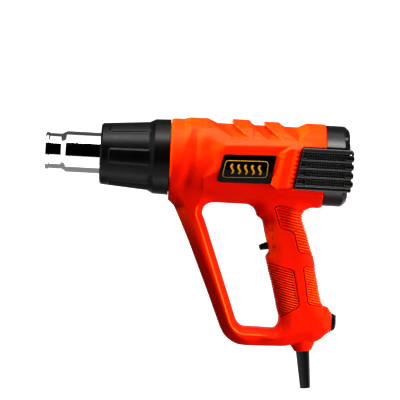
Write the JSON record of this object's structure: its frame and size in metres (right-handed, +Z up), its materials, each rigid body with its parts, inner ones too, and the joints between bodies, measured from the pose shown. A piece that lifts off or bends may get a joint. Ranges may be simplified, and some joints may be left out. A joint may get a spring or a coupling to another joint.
{
  "type": "hot air gun",
  "caption": "Hot air gun with a closed D-handle, a bare steel nozzle in a dark collar, side air intakes, a sliding switch and a heat dial.",
  "frame": {"origin": "middle of the hand grip, on the tool's middle plane", "axes": "X along the barrel, with the nozzle at -X; Z up, across the barrel towards its top; Y across the tool, with the user's left at -Y when the nozzle points away"},
  "size_m": [0.2745, 0.084, 0.2401],
  "materials": {
    "orange_abs": "moulded, satin",
    "black_abs": "moulded, fine texture",
    "gloss_black": "polished mould",
    "nylon": "glass filled",
    "bright_steel": "polished stainless",
    "plain_steel": "zinc plated",
    "mica": "pressed mica sheet",
    "ceramic": "unglazed steatite",
    "resistance_wire": "oxidised",
    "ferrite": "ground",
    "bronze": "sintered",
    "laminations": "stamped",
    "copper": "enamelled",
    "board": "solder mask",
    "aluminium": "extruded",
    "sleeve": "taped",
    "screen": "woven cloth, black",
    "rubber": "moulded",
    "wire_brown": "wire sheath",
    "wire_blue": "wire sheath"
  },
  "bodies": {
    "housing": {"housing_left": "orange_abs", "housing_right": "orange_abs", "front_collar": "black_abs", "rear_cap": "black_abs", "nozzle_tube": "bright_steel", "mica_liner": "mica", "heater_core": "mica", "heating_coil": "resistance_wire", "heater_base": "ceramic", "thermal_cutout": "ceramic", "fan_shroud": "nylon", "motor_can": "plain_steel", "motor_end_cap": "nylon", "motor_magnet_1": "ferrite", "motor_magnet_2": "ferrite", "front_bearing": "bronze", "rear_bearing": "bronze", "rectifier_board": "board", "intake_grille_left": "gloss_black", "intake_grille_right": "gloss_black", "dust_screen_left": "screen", "dust_screen_right": "screen", "badge_left": "gloss_black", "badge_right": "gloss_black", "switch_track": "black_abs", "switch_body": "nylon", "potentiometer": "nylon", "control_board": "board", "triac_heatsink": "aluminium", "suppressor": "sleeve", "cord_boot": "rubber", "cord_clamp": "nylon", "cord_clamp_screw_1": "plain_steel", "cord_clamp_screw_2": "plain_steel", "supply_leads": "wire_brown", "heater_lead": "wire_blue", "housing_screw_1": "plain_steel", "housing_screw_2": "plain_steel", "housing_screw_3": "plain_steel", "housing_screw_4": "plain_steel", "housing_screw_5": "plain_steel", "housing_screw_6": "plain_steel", "cap_screw_1": "plain_steel", "cap_screw_2": "plain_steel", "cap_screw_3": "plain_steel", "cap_screw_4": "plain_steel"},
    "switch": {"switch_knob": "black_abs"},
    "dial": {"temperature_dial": "black_abs"},
    "fan": {"fan_impeller": "nylon", "motor_shaft": "plain_steel", "motor_rotor": "laminations", "motor_windings": "copper", "commutator": "copper"}
  },
  "joints": [
    {"name": "switch_slide", "type": "slide", "parent": "housing", "child": "switch", "axis": [-0.2874, 0, 0.9578], "range_m": [0, 0.015]},
    {"name": "dial_turn", "type": "hinge", "parent": "housing", "child": "dial", "pos_m": [0.04, 0, -0.056], "axis": [1, 0, 0], "range_deg": [0, 270]},
    {"name": "fan_spin", "type": "hinge", "parent": "housing", "child": "fan", "pos_m": [-0.016, 0, 0.085], "axis": [1, 0, 0], "continuous": true}
  ]
}
